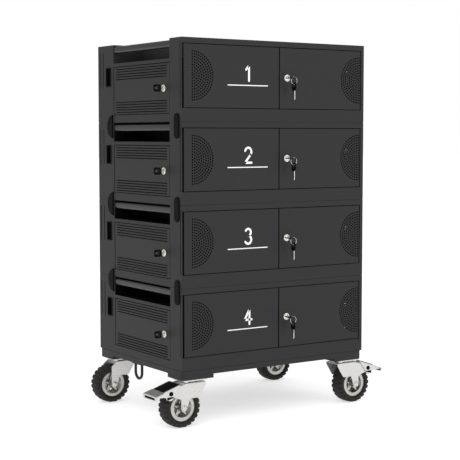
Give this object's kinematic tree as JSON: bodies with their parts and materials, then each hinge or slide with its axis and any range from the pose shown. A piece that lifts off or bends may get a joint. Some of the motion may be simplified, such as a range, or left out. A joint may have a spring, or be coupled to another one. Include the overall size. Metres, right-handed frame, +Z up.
{
  "type": "laptop charging cabinet",
  "caption": "Rolling steel cabinet of stacked lockable modules with perforated double doors, louvred side doors and grab handles, on swivel casters with foot brakes.",
  "frame": {"origin": "middle of the whole outline on the floor, with the doors closed", "axes": "+Z up, doors face -Y, +X to their right"},
  "size_m": [0.876, 0.563, 1.176],
  "materials": {
    "charcoal_powder_coat": "fine-textured satin powder coat",
    "zinc_plated_steel": "bright zinc plating",
    "polished_rim": "bright plated wheel centre",
    "nickel_plate": "nickel-plated lock face",
    "tyre_rubber": "matt grey-black rubber",
    "black_plastic": "moulded matt plastic",
    "black_key_plastic": "moulded key heads",
    "black_grip": "smooth black handle bar"
  },
  "bodies": {
    "cabinet": {"base_frame": "charcoal_powder_coat", "caster_plates": "zinc_plated_steel", "casing_roofs_and_floors": "charcoal_powder_coat", "casing_backs": "charcoal_powder_coat", "casing_left_sides": "charcoal_powder_coat", "casing_right_sides": "charcoal_powder_coat", "front_frames": "charcoal_powder_coat", "side_bay_liners": "charcoal_powder_coat", "handle_bars": "black_grip", "module_clips": "black_plastic", "laptop_shelves": "charcoal_powder_coat", "power_strips": "black_plastic", "power_inlets": "black_plastic", "hinge_pins": "zinc_plated_steel"},
    "front_door_left_1": {"front_door_left_1": "charcoal_powder_coat"},
    "front_door_right_1": {"front_door_right_1": "charcoal_powder_coat"},
    "side_door_1": {"side_door_1": "charcoal_powder_coat"},
    "front_lock_1": {"front_lock_1": "nickel_plate", "front_key_1": "black_key_plastic"},
    "side_lock_1": {"side_lock_1": "nickel_plate", "side_key_1": "black_key_plastic"},
    "spare_key_1": {"spare_key_1": "black_key_plastic"},
    "front_door_left_2": {"front_door_left_2": "charcoal_powder_coat"},
    "front_door_right_2": {"front_door_right_2": "charcoal_powder_coat"},
    "side_door_2": {"side_door_2": "charcoal_powder_coat"},
    "front_lock_2": {"front_lock_2": "nickel_plate", "front_key_2": "black_key_plastic"},
    "side_lock_2": {"side_lock_2": "nickel_plate", "side_key_2": "black_key_plastic"},
    "spare_key_2": {"spare_key_2": "black_key_plastic"},
    "front_door_left_3": {"front_door_left_3": "charcoal_powder_coat"},
    "front_door_right_3": {"front_door_right_3": "charcoal_powder_coat"},
    "side_door_3": {"side_door_3": "charcoal_powder_coat"},
    "front_lock_3": {"front_lock_3": "nickel_plate", "front_key_3": "black_key_plastic"},
    "side_lock_3": {"side_lock_3": "nickel_plate", "side_key_3": "black_key_plastic"},
    "spare_key_3": {"spare_key_3": "black_key_plastic"},
    "front_door_left_4": {"front_door_left_4": "charcoal_powder_coat"},
    "front_door_right_4": {"front_door_right_4": "charcoal_powder_coat"},
    "side_door_4": {"side_door_4": "charcoal_powder_coat"},
    "front_lock_4": {"front_lock_4": "nickel_plate", "front_key_4": "black_key_plastic"},
    "side_lock_4": {"side_lock_4": "nickel_plate", "side_key_4": "black_key_plastic"},
    "spare_key_4": {"spare_key_4": "black_key_plastic"},
    "caster_fl": {"caster_fork_fl": "zinc_plated_steel"},
    "wheel_fl": {"tyre_fl": "tyre_rubber", "rim_fl": "polished_rim"},
    "brake_fl": {"brake_pedal_fl": "zinc_plated_steel"},
    "caster_fr": {"caster_fork_fr": "zinc_plated_steel"},
    "wheel_fr": {"tyre_fr": "tyre_rubber", "rim_fr": "polished_rim"},
    "brake_fr": {"brake_pedal_fr": "zinc_plated_steel"},
    "caster_rl": {"caster_fork_rl": "zinc_plated_steel"},
    "wheel_rl": {"tyre_rl": "tyre_rubber", "rim_rl": "polished_rim"},
    "caster_rr": {"caster_fork_rr": "zinc_plated_steel"},
    "wheel_rr": {"tyre_rr": "tyre_rubber", "rim_rr": "polished_rim"}
  },
  "joints": [
    {"name": "front_door_left_1_hinge", "type": "hinge", "parent": "cabinet", "child": "front_door_left_1", "pos_m": [-0.335, -0.2385, 1.063], "axis": [0, 0, -1], "range_deg": [0, 110]},
    {"name": "front_door_right_1_hinge", "type": "hinge", "parent": "cabinet", "child": "front_door_right_1", "pos_m": [0.328, -0.2385, 1.063], "axis": [0, 0, 1], "range_deg": [0, 110]},
    {"name": "side_door_1_hinge", "type": "hinge", "parent": "cabinet", "child": "side_door_1", "pos_m": [-0.343, 0.168, 1.028], "axis": [0, 0, -1], "range_deg": [0, 110]},
    {"name": "front_lock_1_turn", "type": "hinge", "parent": "front_door_right_1", "child": "front_lock_1", "pos_m": [0.0385, -0.2435, 1.064], "axis": [0, 1, 0], "range_deg": [0, 90]},
    {"name": "spare_key_1_swing", "type": "hinge", "parent": "front_lock_1", "child": "spare_key_1", "pos_m": [0.04575, -0.2705, 1.05532], "axis": [0, 1, 0], "range_deg": [-90, 0]},
    {"name": "side_lock_1_turn", "type": "hinge", "parent": "side_door_1", "child": "side_lock_1", "pos_m": [-0.348, -0.1395, 1.028], "axis": [-1, 0, 0], "range_deg": [0, 90]},
    {"name": "front_door_left_2_hinge", "type": "hinge", "parent": "cabinet", "child": "front_door_left_2", "pos_m": [-0.335, -0.2385, 0.813], "axis": [0, 0, -1], "range_deg": [0, 110]},
    {"name": "front_door_right_2_hinge", "type": "hinge", "parent": "cabinet", "child": "front_door_right_2", "pos_m": [0.328, -0.2385, 0.813], "axis": [0, 0, 1], "range_deg": [0, 110]},
    {"name": "side_door_2_hinge", "type": "hinge", "parent": "cabinet", "child": "side_door_2", "pos_m": [-0.343, 0.168, 0.778], "axis": [0, 0, -1], "range_deg": [0, 110]},
    {"name": "front_lock_2_turn", "type": "hinge", "parent": "front_door_right_2", "child": "front_lock_2", "pos_m": [0.0385, -0.2435, 0.814], "axis": [0, 1, 0], "range_deg": [0, 90]},
    {"name": "spare_key_2_swing", "type": "hinge", "parent": "front_lock_2", "child": "spare_key_2", "pos_m": [0.04575, -0.2705, 0.80532], "axis": [0, 1, 0], "range_deg": [-90, 0]},
    {"name": "side_lock_2_turn", "type": "hinge", "parent": "side_door_2", "child": "side_lock_2", "pos_m": [-0.348, -0.1395, 0.778], "axis": [-1, 0, 0], "range_deg": [0, 90]},
    {"name": "front_door_left_3_hinge", "type": "hinge", "parent": "cabinet", "child": "front_door_left_3", "pos_m": [-0.335, -0.2385, 0.563], "axis": [0, 0, -1], "range_deg": [0, 110]},
    {"name": "front_door_right_3_hinge", "type": "hinge", "parent": "cabinet", "child": "front_door_right_3", "pos_m": [0.328, -0.2385, 0.563], "axis": [0, 0, 1], "range_deg": [0, 110]},
    {"name": "side_door_3_hinge", "type": "hinge", "parent": "cabinet", "child": "side_door_3", "pos_m": [-0.343, 0.168, 0.528], "axis": [0, 0, -1], "range_deg": [0, 110]},
    {"name": "front_lock_3_turn", "type": "hinge", "parent": "front_door_right_3", "child": "front_lock_3", "pos_m": [0.0385, -0.2435, 0.564], "axis": [0, 1, 0], "range_deg": [0, 90]},
    {"name": "spare_key_3_swing", "type": "hinge", "parent": "front_lock_3", "child": "spare_key_3", "pos_m": [0.04575, -0.2705, 0.55532], "axis": [0, 1, 0], "range_deg": [-90, 0]},
    {"name": "side_lock_3_turn", "type": "hinge", "parent": "side_door_3", "child": "side_lock_3", "pos_m": [-0.348, -0.1395, 0.528], "axis": [-1, 0, 0], "range_deg": [0, 90]},
    {"name": "front_door_left_4_hinge", "type": "hinge", "parent": "cabinet", "child": "front_door_left_4", "pos_m": [-0.335, -0.2385, 0.313], "axis": [0, 0, -1], "range_deg": [0, 110]},
    {"name": "front_door_right_4_hinge", "type": "hinge", "parent": "cabinet", "child": "front_door_right_4", "pos_m": [0.328, -0.2385, 0.313], "axis": [0, 0, 1], "range_deg": [0, 110]},
    {"name": "side_door_4_hinge", "type": "hinge", "parent": "cabinet", "child": "side_door_4", "pos_m": [-0.343, 0.168, 0.278], "axis": [0, 0, -1], "range_deg": [0, 110]},
    {"name": "front_lock_4_turn", "type": "hinge", "parent": "front_door_right_4", "child": "front_lock_4", "pos_m": [0.0385, -0.2435, 0.314], "axis": [0, 1, 0], "range_deg": [0, 90]},
    {"name": "spare_key_4_swing", "type": "hinge", "parent": "front_lock_4", "child": "spare_key_4", "pos_m": [0.04575, -0.2705, 0.30532], "axis": [0, 1, 0], "range_deg": [-90, 0]},
    {"name": "side_lock_4_turn", "type": "hinge", "parent": "side_door_4", "child": "side_lock_4", "pos_m": [-0.348, -0.1395, 0.278], "axis": [-1, 0, 0], "range_deg": [0, 90]},
    {"name": "caster_fl_swivel", "type": "hinge", "parent": "cabinet", "child": "caster_fl", "pos_m": [-0.298, -0.2015, 0.14], "axis": [0, 0, 1], "continuous": true},
    {"name": "wheel_fl_roll", "type": "hinge", "parent": "caster_fl", "child": "wheel_fl", "pos_m": [-0.334, -0.2015, 0.0625], "axis": [0, 1, 0], "continuous": true},
    {"name": "brake_fl_press", "type": "hinge", "parent": "caster_fl", "child": "brake_fl", "pos_m": [-0.383, -0.2015, 0.112], "axis": [0, -1, 0], "range_deg": [0, 6]},
    {"name": "caster_fr_swivel", "type": "hinge", "parent": "cabinet", "child": "caster_fr", "pos_m": [0.298, -0.2015, 0.14], "axis": [0, 0, 1], "continuous": true},
    {"name": "wheel_fr_roll", "type": "hinge", "parent": "caster_fr", "child": "wheel_fr", "pos_m": [0.334, -0.2015, 0.0625], "axis": [0, 1, 0], "continuous": true},
    {"name": "brake_fr_press", "type": "hinge", "parent": "caster_fr", "child": "brake_fr", "pos_m": [0.383, -0.2015, 0.112], "axis": [0, 1, 0], "range_deg": [0, 6]},
    {"name": "caster_rl_swivel", "type": "hinge", "parent": "cabinet", "child": "caster_rl", "pos_m": [-0.298, 0.2395, 0.14], "axis": [0, 0, 1], "continuous": true},
    {"name": "wheel_rl_roll", "type": "hinge", "parent": "caster_rl", "child": "wheel_rl", "pos_m": [-0.334, 0.2395, 0.0625], "axis": [0, 1, 0], "continuous": true},
    {"name": "caster_rr_swivel", "type": "hinge", "parent": "cabinet", "child": "caster_rr", "pos_m": [0.298, 0.2395, 0.14], "axis": [0, 0, 1], "continuous": true},
    {"name": "wheel_rr_roll", "type": "hinge", "parent": "caster_rr", "child": "wheel_rr", "pos_m": [0.334, 0.2395, 0.0625], "axis": [0, 1, 0], "continuous": true}
  ],
  "couplings": [
    {"joint": "spare_key_1_swing", "follows": "front_lock_1_turn", "ratio": -1},
    {"joint": "spare_key_2_swing", "follows": "front_lock_2_turn", "ratio": -1},
    {"joint": "spare_key_3_swing", "follows": "front_lock_3_turn", "ratio": -1},
    {"joint": "spare_key_4_swing", "follows": "front_lock_4_turn", "ratio": -1}
  ]
}
